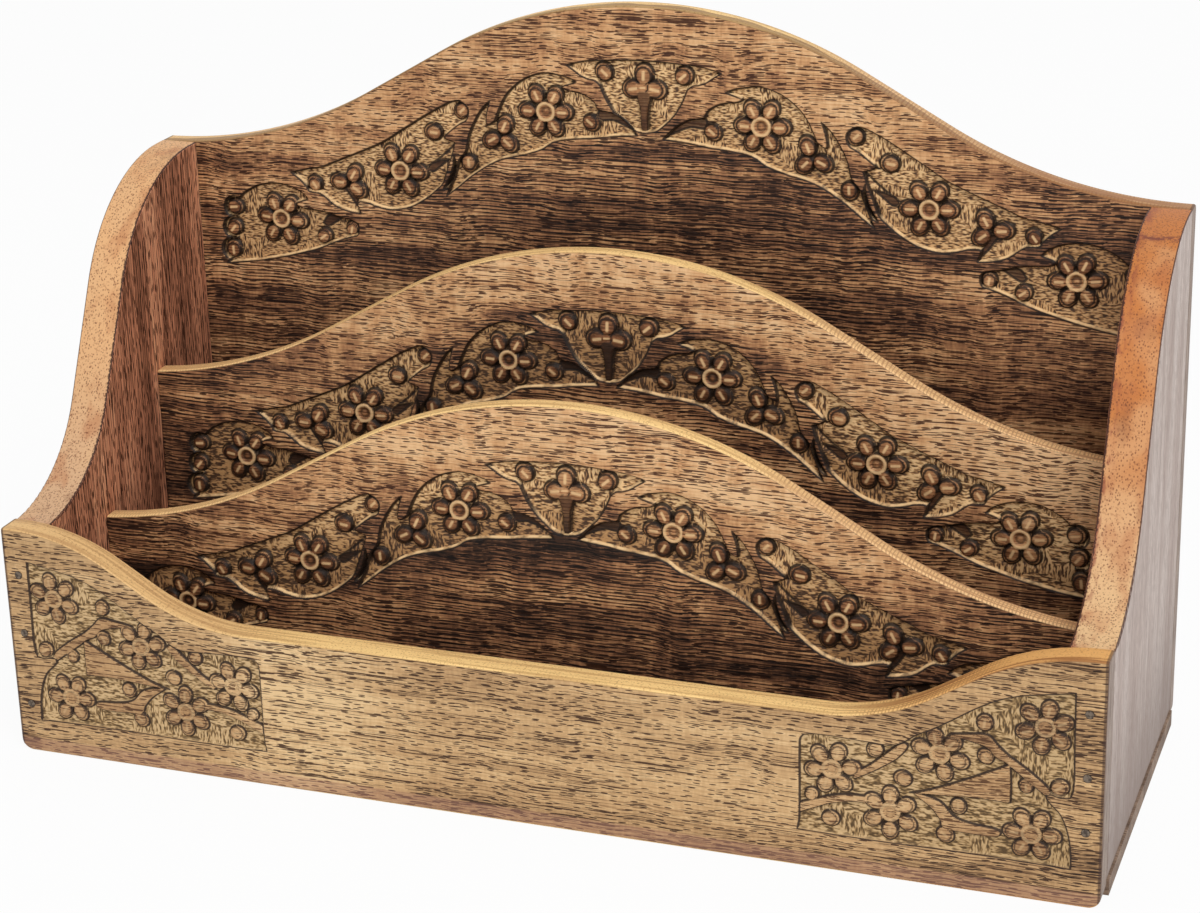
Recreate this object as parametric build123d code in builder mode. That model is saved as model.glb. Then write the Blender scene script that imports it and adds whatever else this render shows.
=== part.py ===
"""Carved wooden letter rack: three letter slots between stepped, arched boards.

Millimetres. X runs across the rack, Y from front to back, Z up. The origin is on the
surface that the rack stands on, midway along its width and its depth.
"""
import os
from math import cos, radians, sin

from build123d import *

# Outside of the rack
WIDTH = 305.0
DEPTH = 114.0

# Board thicknesses
FRONT_THICKNESS = 8.0
BACK_THICKNESS = 6.5
SIDE_THICKNESS = 11.4
DIVIDER_THICKNESS = 5.0
BOTTOM_THICKNESS = 4.5

# How far the bottom board stands proud of each side board
BOTTOM_OVERHANG = 0.6

# Sanded rounding round the broad faces, and the rounded lower corners of the two long boards
EASED_EDGE = 0.5
CORNER_RADIUS = 3.5

# Arched top edge, cut to one pattern on the back and on both dividers
ARCH_RISE = 47.4
ARCH_ANGLE = 29.5
ARCH_FOOT_SHARE = 0.52
BACK_END_HEIGHT = 150.1
MIDDLE_END_HEIGHT = 89.4
LOW_END_HEIGHT = 57.3

# Distance of each divider's face behind the front of the rack
LOW_SETBACK = 37.0
MIDDLE_SETBACK = 72.8

# Scooped top edge of the front panel
SCOOP_HEIGHT = 44.0
SCOOP_HALF_WIDTH = 80.0
SCOOP_ANGLE = 31.5
SCOOP_FOOT_SHARE = 0.5
FRONT_END_HEIGHT = 67.3
FRONT_END_FLAT = 2.5

# S-shaped front edge of the side boards
SWEEP_LOW_SETBACK = 5.5
SWEEP_LOW_HEIGHT = 66.6
SWEEP_HIGH_SETBACK = 104.0
SWEEP_ANGLE = 64.5
SWEEP_FOOT_SHARE = 0.45

# Sunk fields of the flower band on the arched boards, drawn for one half: distance from the middle and
# height under the crown. Each field is a ring of curves that meet in sharp tips.
BAND_DEPTH = 1.35
OUTER_FIELD = (
    ((133.6, -84.2), (117, -81.4), (103, -77.4), (92.6, -73.4), (89, -70.6), (91.8, -67.8),
     (99, -66.3), (107, -65), (105.4, -62.5)),
    ((105.4, -62.5), (110.5, -59.2), (115, -58.3), (124, -60.4), (128.4, -64.6), (130, -76),
     (133.6, -84.2)),
)
MIDDLE_FIELD = (
    ((110.6, -54.6), (100.5, -52.3), (88, -47), (73, -38.8), (61, -31.6), (55, -29.8),
     (52.2, -32.6), (54.4, -36.2), (60.4, -40.4), (57.6, -42.4)),
    ((57.6, -42.4), (60.4, -50.5), (64.3, -57), (71.5, -62), (79, -63.8), (88.5, -65.7)),
    ((88.5, -65.7), (96.5, -63.9), (101.6, -60.4), (106, -58.4), (110.6, -54.6)),
)
INNER_FIELD = (
    ((60.9, -58.3), (53, -52), (44, -46.6), (36, -44.8), (27, -40.9), (18.6, -39),
     (10, -37.6), (2, -36.8)),
    ((2, -36.8), (6.2, -34.2), (10, -32), (13.6, -30), (17, -26.4), (22.6, -24.8), (19.8, -22.5)),
    ((19.8, -22.5), (25, -20.8), (33, -21.2), (40.5, -26.4), (44.3, -33.2), (47, -35.6), (46.2, -29.2)),
    ((46.2, -29.2), (51.5, -36), (54.4, -44.6), (57.6, -50.5), (60.9, -58.3)),
)
HEART_TOP = -15.0
HEART_FLANK = (
    (22.8, -17.4), (18.5, -20.2), (14.4, -21.4), (12.4, -24), (9, -30.2), (3.8, -34.6), (0, -35.6),
)

# Flowers (with the turn of the first petal), trefoils (with the turns of their lobes) and berries (with
# their radius) that stand in the band, and the berries in hollows of their own at its ends
BAND_FLOWERS = ((114.8, -69.2, 5), (75.4, -52, 2), (29.5, -31.7, 0))
BAND_TREFOILS = ((92, -56.7, (121, 2, 218)), (43.6, -39.4, (331, 225, 115)))
BAND_BERRIES = (
    (101, -73.6, 2.2), (91.8, -70.6, 2.1), (103.3, -57.7, 2.5), (64.6, -39.8, 2.8), (55.3, -33, 2.4),
    (53.7, -48.4, 2.7), (16, -34.2, 2.6),
)
END_BERRIES = ((129.8, -66.6, 2.6), (130.6, -73, 2.6), (131.4, -79.7, 2.7))
END_HOLLOW = 0.9
HEART_BERRY = (11.8, -19, 2.7)
HEART_TREFOIL = (0, -22.6, (-12, 90, 192))
HEART_STEM_WIDTH = 2.0
HEART_STEM_LENGTH = 14.0

# How each half of the band was set on each board: slide outward, stretch, lift (left half, right half)
BACK_SHIFTS = ((0.0, 1.0, 0.0), (3.4, 1.036, -0.6))
MIDDLE_SHIFTS = ((0.6, 0.985, -2.0), (0.4, 1.004, -1.9))
LOW_SHIFTS = ((1.6, 1.004, -1.4), (1.0, 0.985, -1.0))

# Sunk corners of the front panel, drawn for one end: distance from the middle and height
CORNER_DEPTH = 0.75
CORNER_FIELD = (
    ((145.8, 58), (135, 56.1), (125, 52.9), (115, 46.6), (106, 41.2), (98, 37.4)),
    ((98, 37.4), (76, 37.4)),
    ((76, 37.4), (75.4, 10.2)),
    ((75.4, 10.2), (145.8, 10.2)),
    ((145.8, 10.2), (144.3, 20), (139, 28.4)),
    ((139, 28.4), (145.8, 29.4)),
    ((145.8, 29.4), (145.8, 58)),
)
CORNER_LEAVES = (
    (
        ((128.6, 36.2), (117, 29.8), (104.2, 24.6)),
        ((104.2, 24.6), (117, 25.6), (128, 25.4), (131.2, 29), (128.6, 36.2)),
    ),
    (
        ((139.6, 28.4), (131.4, 34.2), (123.6, 40), (114, 42.2)),
        ((114, 42.2), (123.8, 43.6), (132.4, 36.6), (139.6, 28.4)),
    ),
)
CORNER_FLOWERS = ((138, 47.6, 20), (111.8, 36.6, 45), (84.2, 28.4, 10), (135.2, 18, 0), (99.4, 18.6, 30))
CORNER_BERRIES = (
    (142, 31.8, 2.2), (123, 46.8, 2.3), (102.6, 28.4, 2.4), (95.4, 35.4, 2.3), (116.8, 22.8, 2.3),
    (113.6, 14.4, 2.4), (84, 14.4, 2.4), (79, 20.6, 1.9),
)
CORNER_FLOWER_SIZE = 0.86
CORNER_SHIFTS = ((0.0, 1.0, 0.0), (-0.6, 1.0, 0.2))

# Six-petalled flower and trefoil
PETALS = 6
PETAL_REACH = 5.95
PETAL_RADIUS = 3.1
FLOWER_CORE_RADIUS = 4.4
PIT_RADIUS = 1.6
LOBE_REACH = 3.6
LOBE_RADIUS = 3.15
TREFOIL_CORE_RADIUS = 2.0

# Brads
BRAD_HEAD_DIAMETER = 2.1
BRAD_HEAD_HEIGHT = 0.9
BRAD_SHANK_DIAMETER = 1.4
BRAD_POINT = 2.0
LONG_BRAD = 20.0
SHORT_BRAD = 16.0
BRAD_INSET = 4.4
LEFT_BRAD_HEIGHTS = (14.7, 36.3, 53.8)
RIGHT_BRAD_HEIGHTS = (20.9, 35.8, 53.0)
BACK_BRAD_HEIGHTS = (25.0, 75.0, 125.0)
BOTTOM_BRAD_SETBACKS = (24.0, 57.0, 92.0)
DIVIDER_BRAD_SPACING = 90.0

HALF_WIDTH = WIDTH / 2
INNER_WIDTH = WIDTH - 2 * SIDE_THICKNESS
FRONT_Y = -DEPTH / 2
BACK_Y = DEPTH / 2
SIDE_FRONT_Y = FRONT_Y + FRONT_THICKNESS
SIDE_BACK_Y = BACK_Y - BACK_THICKNESS


def s_curve(low, high, angle, foot_share):
    """Draw an arc, a flank and an arc from the level point low up to the level point high.

    The radii follow from the two points and the flank's angle; foot_share is the lower one's part.
    """
    way = 1 if high[0] > low[0] else -1
    across = abs(high[0] - low[0])
    rise = high[1] - low[1]
    turn = radians(angle)
    radius_sum = (across * sin(turn) - rise * cos(turn)) / (1 - cos(turn))
    foot_radius = radius_sum * foot_share
    head_radius = radius_sum - foot_radius

    def on_foot(part):
        return (low[0] + way * foot_radius * sin(part), low[1] + foot_radius * (1 - cos(part)))

    def on_head(part):
        return (high[0] - way * head_radius * sin(part), high[1] - head_radius * (1 - cos(part)))

    ThreePointArc(low, on_foot(turn / 2), on_foot(turn))
    Line(on_foot(turn), on_head(turn))
    ThreePointArc(on_head(turn), on_head(turn / 2), high)


def upright(face_y, thickness):
    """Plane from which an extrusion of the thickness comes forward to end at face_y."""
    return Plane.XZ.offset(-(face_y + thickness))


def arched_outline(foot, end_height):
    """Draw the outline of a board as wide as the rack, with the arched top edge."""
    crown = (0, end_height + ARCH_RISE)
    for side in (-1, 1):
        shoulder = (side * HALF_WIDTH, end_height)
        Polyline((0, foot), (side * HALF_WIDTH, foot), shoulder)
        s_curve(shoulder, crown, ARCH_ANGLE, ARCH_FOOT_SHARE)


def round_lower_corners(outline):
    """Round the two outer corners that the outline stands on; the sketch's Y is up."""
    foot_points = outline.vertices().group_by(Axis.Y)[0].sort_by(Axis.X)
    fillet([foot_points[0], foot_points[-1]], CORNER_RADIUS)


def ease(board, axis):
    """Round the rims of the board's two broad faces, which look along the axis."""
    faces = board.faces().sort_by(axis)
    fillet(faces[0].outer_wire().edges() + faces[-1].outer_wire().edges(), EASED_EDGE)


def on_half(x, z, side, shift):
    """Place, on one half of a board, of a carved form drawn for that half."""
    slide, stretch, lift = shift
    return (side * (x * stretch + slide), z + lift)


def ring(curves, side, shift):
    """Draw a closed ring of curves on one half of a board."""
    for curve in curves:
        Spline(*[on_half(x, z, side, shift) for x, z in curve])


def flower(turn, size):
    """Outline of a flower that stands in a sunk field, with a pit in its middle."""
    with BuildSketch() as pad:
        Circle(size * FLOWER_CORE_RADIUS)
        with PolarLocations(size * PETAL_REACH, PETALS, start_angle=turn):
            Circle(size * PETAL_RADIUS)
        Circle(size * PIT_RADIUS, mode=Mode.SUBTRACT)
    return pad.sketch


def trefoil(turns, side):
    """Outline of three lobes that stand in a sunk field."""
    with BuildSketch() as pad:
        Circle(TREFOIL_CORE_RADIUS)
        for turn in turns:
            with Locations((side * LOBE_REACH * cos(radians(turn)), LOBE_REACH * sin(radians(turn)))):
                Circle(LOBE_RADIUS)
    return pad.sketch


def flower_band(face_y, crown, shifts):
    """Sketch, on a board's face, of the sunk ground of its flower band."""
    placed = [(slide, stretch, lift + crown) for slide, stretch, lift in shifts]
    middle = (0, 1, (placed[0][2] + placed[1][2]) / 2)
    with BuildSketch(Plane.XZ.offset(-face_y)) as band:
        with BuildLine():
            left = [on_half(x, z, -1, middle) for x, z in HEART_FLANK]
            right = [on_half(x, z, 1, middle) for x, z in HEART_FLANK]
            ThreePointArc(left[0], on_half(0, HEART_TOP, 1, middle), right[0])
            Spline(*left, *reversed(right[:-1]))
        make_face()
        with Locations(on_half(*HEART_TREFOIL[:2], 1, middle)):
            add(trefoil(HEART_TREFOIL[2], 1), mode=Mode.SUBTRACT)
            Rectangle(
                HEART_STEM_WIDTH,
                HEART_STEM_LENGTH,
                align=(Align.CENTER, Align.MAX),
                mode=Mode.SUBTRACT,
            )
        with Locations(*[on_half(*HEART_BERRY[:2], side, middle) for side in (-1, 1)]):
            Circle(HEART_BERRY[2], mode=Mode.SUBTRACT)
        for side, shift in zip((-1, 1), placed):
            for field in (OUTER_FIELD, MIDDLE_FIELD, INNER_FIELD):
                with BuildLine():
                    ring(field, side, shift)
                make_face()
            for x, z, radius in END_BERRIES:
                with Locations(on_half(x, z, side, shift)):
                    Circle(radius + END_HOLLOW)
            for x, z, radius in BAND_BERRIES + END_BERRIES:
                with Locations(on_half(x, z, side, shift)):
                    Circle(radius, mode=Mode.SUBTRACT)
            for x, z, turns in BAND_TREFOILS:
                with Locations(on_half(x, z, side, shift)):
                    add(trefoil(turns, side), mode=Mode.SUBTRACT)
            for x, z, turn in BAND_FLOWERS:
                with Locations(on_half(x, z, side, shift)):
                    add(flower(side * turn, 1), mode=Mode.SUBTRACT)
    return band.sketch


def carved_corners(face_y):
    """Sketch, on the front panel's face, of the sunk ground of its two corners."""
    with BuildSketch(Plane.XZ.offset(-face_y)) as corners:
        for side, shift in zip((-1, 1), CORNER_SHIFTS):
            with BuildLine():
                ring(CORNER_FIELD, side, shift)
            make_face()
            for leaf in CORNER_LEAVES:
                with BuildLine():
                    ring(leaf, side, shift)
                make_face(mode=Mode.SUBTRACT)
            for x, z, radius in CORNER_BERRIES:
                with Locations(on_half(x, z, side, shift)):
                    Circle(radius, mode=Mode.SUBTRACT)
            for x, z, turn in CORNER_FLOWERS:
                with Locations(on_half(x, z, side, shift)):
                    add(flower(side * turn, CORNER_FLOWER_SIZE), mode=Mode.SUBTRACT)
    return corners.sketch


def brad(length):
    """One brad with the middle of its head at the origin and its point along -Z."""
    head = BRAD_HEAD_DIAMETER / 2
    shank = BRAD_SHANK_DIAMETER / 2
    with BuildPart() as nail:
        with BuildSketch(Plane.XZ):
            with BuildLine():
                Polyline(
                    (0, 0),
                    (head, 0),
                    (shank, -BRAD_HEAD_HEIGHT),
                    (shank, BRAD_POINT - length),
                    (0, -length),
                    close=True,
                )
            make_face()
        revolve(axis=Axis.Z)
    return nail.part


# Brads through the front panel into the front ends of the side boards
brad_x = HALF_WIDTH - BRAD_INSET
front_points = [(-brad_x, height) for height in LEFT_BRAD_HEIGHTS]
front_points += [(brad_x, height) for height in RIGHT_BRAD_HEIGHTS]
with BuildPart() as front_panel_brads:
    with Locations(*[Location((x, FRONT_Y, z), (90, 0, 0)) for x, z in front_points]):
        add(brad(LONG_BRAD))

# Brads through the back panel into the rear ends of the side boards
back_points = [(x, height) for x in (-brad_x, brad_x) for height in BACK_BRAD_HEIGHTS]
with BuildPart() as back_panel_brads:
    with Locations(*[Location((x, BACK_Y, z), (-90, 0, 0)) for x, z in back_points]):
        add(brad(LONG_BRAD))

# Brads up through the bottom board into the side boards and the dividers
side_middle_x = HALF_WIDTH - SIDE_THICKNESS / 2
bottom_points = [(x, setback) for x in (-side_middle_x, side_middle_x) for setback in BOTTOM_BRAD_SETBACKS]
for setback in (LOW_SETBACK, MIDDLE_SETBACK):
    for place in (-1, 0, 1):
        bottom_points.append((place * DIVIDER_BRAD_SPACING, setback + DIVIDER_THICKNESS / 2))
with BuildPart() as bottom_panel_brads:
    with Locations(*[Location((x, FRONT_Y + setback, 0), (180, 0, 0)) for x, setback in bottom_points]):
        add(brad(SHORT_BRAD))

# Back panel: over the rear ends of the side boards, with the highest arch
with BuildPart() as back_panel:
    with BuildSketch(upright(SIDE_BACK_Y, BACK_THICKNESS)) as back_outline:
        with BuildLine():
            arched_outline(0, BACK_END_HEIGHT)
        make_face()
        round_lower_corners(back_outline)
    extrude(amount=BACK_THICKNESS)
    ease(back_panel, Axis.Y)
    extrude(
        flower_band(SIDE_BACK_Y, BACK_END_HEIGHT + ARCH_RISE, BACK_SHIFTS),
        amount=-BAND_DEPTH,
        mode=Mode.SUBTRACT,
    )
    add(back_panel_brads.part, mode=Mode.SUBTRACT)

# Front panel: over the front ends of the side boards, with the scooped top edge
with BuildPart() as front_panel:
    with BuildSketch(upright(FRONT_Y, FRONT_THICKNESS)) as front_outline:
        with BuildLine():
            for side in (-1, 1):
                scoop_end = (side * SCOOP_HALF_WIDTH, SCOOP_HEIGHT)
                flat_start = (side * (HALF_WIDTH - FRONT_END_FLAT), FRONT_END_HEIGHT)
                Line((0, SCOOP_HEIGHT), scoop_end)
                s_curve(scoop_end, flat_start, SCOOP_ANGLE, SCOOP_FOOT_SHARE)
                Polyline(flat_start, (side * HALF_WIDTH, FRONT_END_HEIGHT), (side * HALF_WIDTH, 0), (0, 0))
        make_face()
        round_lower_corners(front_outline)
    extrude(amount=FRONT_THICKNESS)
    ease(front_panel, Axis.Y)
    extrude(carved_corners(FRONT_Y), amount=-CORNER_DEPTH, mode=Mode.SUBTRACT)
    add(front_panel_brads.part, mode=Mode.SUBTRACT)

# Bottom board: between the front and the back, under the sides and the dividers
with BuildPart() as bottom_panel:
    with Locations((0, (SIDE_FRONT_Y + SIDE_BACK_Y) / 2, 0)):
        Box(
            WIDTH + 2 * BOTTOM_OVERHANG,
            SIDE_BACK_Y - SIDE_FRONT_Y,
            BOTTOM_THICKNESS,
            align=(Align.CENTER, Align.CENTER, Align.MIN),
        )
    add(bottom_panel_brads.part, mode=Mode.SUBTRACT)


def side_board(near_x):
    """Side board with the S-shaped front edge, from near_x through its thickness toward +X."""
    with BuildPart() as board:
        with BuildSketch(Plane.YZ.offset(near_x)):
            with BuildLine():
                sweep_low = (FRONT_Y + SWEEP_LOW_SETBACK, SWEEP_LOW_HEIGHT)
                sweep_high = (FRONT_Y + SWEEP_HIGH_SETBACK, BACK_END_HEIGHT)
                s_curve(sweep_low, sweep_high, SWEEP_ANGLE, SWEEP_FOOT_SHARE)
                Polyline(
                    sweep_high,
                    (SIDE_BACK_Y, BACK_END_HEIGHT),
                    (SIDE_BACK_Y, BOTTOM_THICKNESS),
                    (sweep_low[0], BOTTOM_THICKNESS),
                    sweep_low,
                )
            make_face()
            with Locations((SIDE_FRONT_Y, 0)):
                Rectangle(DEPTH, BACK_END_HEIGHT, align=Align.MIN, mode=Mode.INTERSECT)
        extrude(amount=SIDE_THICKNESS)
        ease(board, Axis.X)
        add(front_panel_brads.part, mode=Mode.SUBTRACT)
        add(back_panel_brads.part, mode=Mode.SUBTRACT)
        add(bottom_panel_brads.part, mode=Mode.SUBTRACT)
    return board


left_side = side_board(-HALF_WIDTH)
right_side = side_board(HALF_WIDTH - SIDE_THICKNESS)


def divider(setback, end_height, shifts):
    """Arched divider between the side boards, standing on the bottom board."""
    with BuildPart() as board:
        with BuildSketch(upright(FRONT_Y + setback, DIVIDER_THICKNESS)):
            with BuildLine():
                arched_outline(BOTTOM_THICKNESS, end_height)
            make_face()
            Rectangle(
                INNER_WIDTH,
                end_height + ARCH_RISE,
                align=(Align.CENTER, Align.MIN),
                mode=Mode.INTERSECT,
            )
        extrude(amount=DIVIDER_THICKNESS)
        ease(board, Axis.Y)
        extrude(
            flower_band(FRONT_Y + setback, end_height + ARCH_RISE, shifts),
            amount=-BAND_DEPTH,
            mode=Mode.SUBTRACT,
        )
        add(bottom_panel_brads.part, mode=Mode.SUBTRACT)
    return board


middle_divider = divider(MIDDLE_SETBACK, MIDDLE_END_HEIGHT, MIDDLE_SHIFTS)
front_divider = divider(LOW_SETBACK, LOW_END_HEIGHT, LOW_SHIFTS)

os.makedirs("parts", exist_ok=True)

back_panel.part.label = "back_panel"
export_step(back_panel.part, "parts/back_panel.step")

front_panel.part.label = "front_panel"
export_step(front_panel.part, "parts/front_panel.step")

bottom_panel.part.label = "bottom_panel"
export_step(bottom_panel.part, "parts/bottom_panel.step")

left_side.part.label = "left_side"
export_step(left_side.part, "parts/left_side.step")

right_side.part.label = "right_side"
export_step(right_side.part, "parts/right_side.step")

middle_divider.part.label = "middle_divider"
export_step(middle_divider.part, "parts/middle_divider.step")

front_divider.part.label = "front_divider"
export_step(front_divider.part, "parts/front_divider.step")

front_panel_brads.part.label = "front_panel_brads"
export_step(front_panel_brads.part, "parts/front_panel_brads.step")

back_panel_brads.part.label = "back_panel_brads"
export_step(back_panel_brads.part, "parts/back_panel_brads.step")

bottom_panel_brads.part.label = "bottom_panel_brads"
export_step(bottom_panel_brads.part, "parts/bottom_panel_brads.step")
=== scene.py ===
"""Dressed model of the carved wooden letter rack, with its studio."""
from math import cos, pi, radians, sin
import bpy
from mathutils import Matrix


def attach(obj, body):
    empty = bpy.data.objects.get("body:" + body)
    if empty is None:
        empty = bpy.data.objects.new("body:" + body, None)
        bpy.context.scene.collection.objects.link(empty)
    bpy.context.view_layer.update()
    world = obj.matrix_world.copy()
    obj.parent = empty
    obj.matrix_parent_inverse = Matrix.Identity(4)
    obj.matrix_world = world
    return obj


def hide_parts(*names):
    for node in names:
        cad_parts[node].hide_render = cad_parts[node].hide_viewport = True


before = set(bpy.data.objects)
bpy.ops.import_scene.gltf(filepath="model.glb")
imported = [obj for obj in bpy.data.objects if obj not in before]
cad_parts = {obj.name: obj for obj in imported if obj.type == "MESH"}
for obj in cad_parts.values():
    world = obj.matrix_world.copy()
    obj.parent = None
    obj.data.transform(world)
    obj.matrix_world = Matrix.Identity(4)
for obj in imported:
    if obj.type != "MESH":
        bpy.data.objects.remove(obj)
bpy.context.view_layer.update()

from types import SimpleNamespace

import bpy
import numpy as np
from mathutils import Vector

MM = 0.001

# Sizes shared with the solids, in millimetres
HALF_WIDTH = 152.5
INNER_HALF_WIDTH = 141.1
FRONT_Y = -57.0
FRONT_THICKNESS = 8.0
CORNER_RADIUS = 3.5
ARCH_RISE = 47.4
ARCH_ANGLE = 29.5
ARCH_FOOT_SHARE = 0.52
BOTTOM_THICKNESS = 4.5
SCOOP_HEIGHT = 44.0
SCOOP_HALF_WIDTH = 80.0
SCOOP_ANGLE = 31.5
FRONT_END_HEIGHT = 67.3
FRONT_END_FLAT = 2.5
BRAD_X = 148.1
LEFT_BRAD_HEIGHTS = (14.7, 36.3, 53.8)
RIGHT_BRAD_HEIGHTS = (20.9, 35.8, 53.0)
DIMPLE_RADIUS = 1.0

# Rounding of the dressed boards' edges, and how far the front one stays behind the solid's face
EASE = 0.6
FRONT_SETBACK = 0.1

# Half width, height of the top edge's ends, front face and back face of each arched board
ARCHED_BOARDS = {
    "back_panel": (HALF_WIDTH, 150.1, 50.5, 56.9),
    "middle_divider": (INNER_HALF_WIDTH, 89.4, 15.8, 20.8),
    "front_divider": (INNER_HALF_WIDTH, 57.3, -20.0, -15.0),
}

# Places from front to back where the woods change
FRONT_EDGE_END = -40
BACK_EDGE_START = 48.8
STAIN_Y = 31

# Rows and columns of points on the carved faces
CARVE_STEP = 0.4
BAND_TOP = 10.2
BAND_LOW = 43.8
ROWS_ABOVE = 6
ROWS_BELOW = 8
FRONT_ROWS = 165
CORNER_START = 73.5
PLAIN_HALF_WIDTH = 70
PLAIN_STEP = 4.0

# Depths of the carving, and a distance past which nothing is carved
BAND_DEPTH = 1.35
CORNER_DEPTH = 0.75
FAR = 4.0

# Carved band, drawn once for one half: distance from the middle and height under the arch's crown.
# A point given twice is a sharp tip.
OUTER_GROUND = [
    (133.6, -84.2), (133.6, -84.2), (125, -83.0), (117, -81.4), (110, -79.6), (103, -77.4), (97, -74.8),
    (92.6, -73.2), (89.8, -72.2), (89.6, -69.2), (91.8, -68.0), (95, -67.4), (99, -66.3), (103, -65.7),
    (107, -65.4), (109.2, -64.6), (108.6, -63.6), (105.4, -62.5), (105.4, -62.5), (107.2, -60.8),
    (110.5, -59.2), (115, -58.3), (120, -58.8), (124, -60.4), (127.2, -62.6), (128.4, -64.6),
    (129.4, -69.5), (130.0, -76), (131.2, -81),
]
MIDDLE_GROUND = [
    (110.6, -54.6), (110.6, -54.6), (105, -53.2), (100.5, -52.3), (97, -50.8), (88, -47), (80, -43.3),
    (73, -38.8), (65, -33.8), (61, -31.6), (57.6, -30.1), (55, -30.2), (53, -32.2), (53.6, -35.2),
    (56.0, -36.7), (58.5, -38.6), (60.8, -41.0), (57.6, -42.4), (57.6, -42.4), (58.9, -46.6), (60.4, -50.5),
    (61.8, -54.4), (64.3, -57), (67.5, -59.6), (71.5, -62), (75, -63.2), (79, -63.8), (83, -63.2),
    (86.4, -62.2), (89.4, -62.4), (88.5, -65.7), (88.5, -65.7), (92.5, -65.2), (96.5, -63.9), (99.8, -61.4),
    (101.6, -60.4), (104.8, -60.0), (106, -58.4), (108.2, -56.2),
]
NOTCH_GROUND = [
    (58.2, -45.8), (58.2, -45.8), (58.4, -48.6), (59.6, -52.4), (61.9, -56.4), (61.9, -56.4), (60.2, -55.6),
    (58.5, -53), (57.4, -49.2),
]
INNER_GROUND = [
    (60.9, -58.3), (60.9, -58.3), (57, -55.3), (53, -52), (48, -48.6), (44, -46.6), (40, -45.4), (36, -44.4),
    (31, -42.6), (28, -40.6), (25.4, -39.7), (22, -39.1), (18.6, -38.7), (15, -38.4),
    (10, -37.6), (5, -37.1), (2.0, -36.8), (2.0, -36.8), (5.6, -33.2), (9.4, -30.9), (13.6, -30.0),
    (14.6, -28.2), (17, -26.4), (20, -25.4), (23, -25.0), (24.2, -24.0),
    (19.8, -22.5), (19.8, -22.5), (22, -21.5), (25, -20.8), (29, -20.3), (33, -21.2), (37, -23.3),
    (40.5, -26.4), (42.6, -29.5), (44.3, -33.2), (45.2, -35.2), (47.6, -36.4), (47.4, -33), (46.2, -29.2),
    (46.2, -29.2), (49, -32), (51.5, -36), (53.3, -40), (54.4, -44.6), (56.6, -47.4), (57.6, -50.5),
    (58.8, -53.6),
]
HEART_GROUND = [
    (0, -15.0), (5, -15.1), (10, -15.4), (15.5, -15.8), (19, -16.4), (22.8, -17.4), (22.8, -17.4),
    (20.5, -18.8), (18.5, -20.2), (16.2, -21.1), (14.4, -21.4), (13.0, -22.6), (12.4, -24), (11, -27),
    (9, -30), (6.5, -32.6), (3.8, -34.8), (1.9, -35.4), (0, -35.6),
]
BAND_CUTS = [
    [(67.4, -51.2), (67.4, -51.2), (65.8, -49.4), (63.0, -48.4), (60.2, -47.8), (60.2, -47.8), (62.8, -49.8),
     (65.4, -51.8)],
    [(58.2, -49.6), (58.2, -49.6), (60.4, -50.6), (61.6, -53.0), (62.2, -55.4), (62.2, -55.4), (60.2, -54.6),
     (58.6, -52.4)],
    [(101.6, -69.8), (101.6, -69.8), (99.4, -67.2), (95.2, -67.8), (95.2, -67.8), (98.0, -69.6),
     (100.2, -70.8)],
    [(94.0, -58.2), (94.0, -58.2), (91.6, -58.4), (90.2, -61.2), (88.8, -65.0), (88.8, -65.0), (91.2, -62.4)],
    [(13.8, -30.8), (9.6, -31.0), (6.0, -33.0), (2.2, -36.4), (2.2, -36.4), (6.0, -34.6), (9.8, -33.2),
     (13.4, -33.4)],
]
BAND_SCORES = [
    [(66.8, -50.2), (63.2, -47.6), (60.2, -45.0), (57.8, -42.6)],
    [(61.4, -41.6), (58.6, -39.6), (55.8, -36.4)],
    [(98.0, -54.6), (95.0, -54.0), (92.8, -54.4)],
]
BAND_FLOWERS = [(114.8, -69.2, 5), (75.4, -52.0, 2), (29.5, -31.7, 0)]
BAND_TREFOILS = [(92.0, -56.7, (121, 2, 218)), (43.6, -39.4, (331, 225, 115))]
END_BERRIES = [(129.8, -66.6, 2.6), (130.6, -73.0, 2.6), (131.4, -79.7, 2.7)]
BAND_BERRIES = [
    (101.0, -73.6, 2.5), (91.8, -70.6, 2.3),
    (103.3, -57.7, 2.5), (64.6, -39.8, 2.8), (55.3, -33.0, 2.6), (53.7, -48.4, 2.7), (16.0, -34.2, 2.6),
]
HEART_BERRY = (11.8, -18.9, 2.8)
HEART_STEM = [(-2.2, -24), (2.2, -24), (1.3, -29), (0.8, -36), (-0.8, -36), (-1.3, -29)]
HEART_HUB = (-22.8, 1.9)
HEART_LOBES_Z = -22.6
HEART_LOBE_TURNS = (-12, 90, 192)

# How each half of the stencil was set on each board: slide outward, stretch, lift (left half, right half)
STENCIL_SHIFTS = {
    "back_panel": ((0.0, 1.0, 0.0), (3.4, 1.036, -0.6)),
    "middle_divider": ((0.6, 0.985, -2.0), (0.4, 1.004, -1.9)),
    "front_divider": ((1.6, 1.004, -1.4), (1.0, 0.985, -1.0)),
}

# How pale each board is below its band, how much paler above it, how far that fades to the left and right,
# and how much painted shade darkens its band in the middle and at the ends
BOARD_TONES = {
    "back_panel": (0.425, 0.31, 0.6, 1.0, 0.03, 0.08),
    "middle_divider": (0.4, 0.36, 1.0, -0.35, 0.34, 0.13),
    "front_divider": (0.34, 0.51, 0.75, 0.9, 0.14, 0.24),
}

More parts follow.
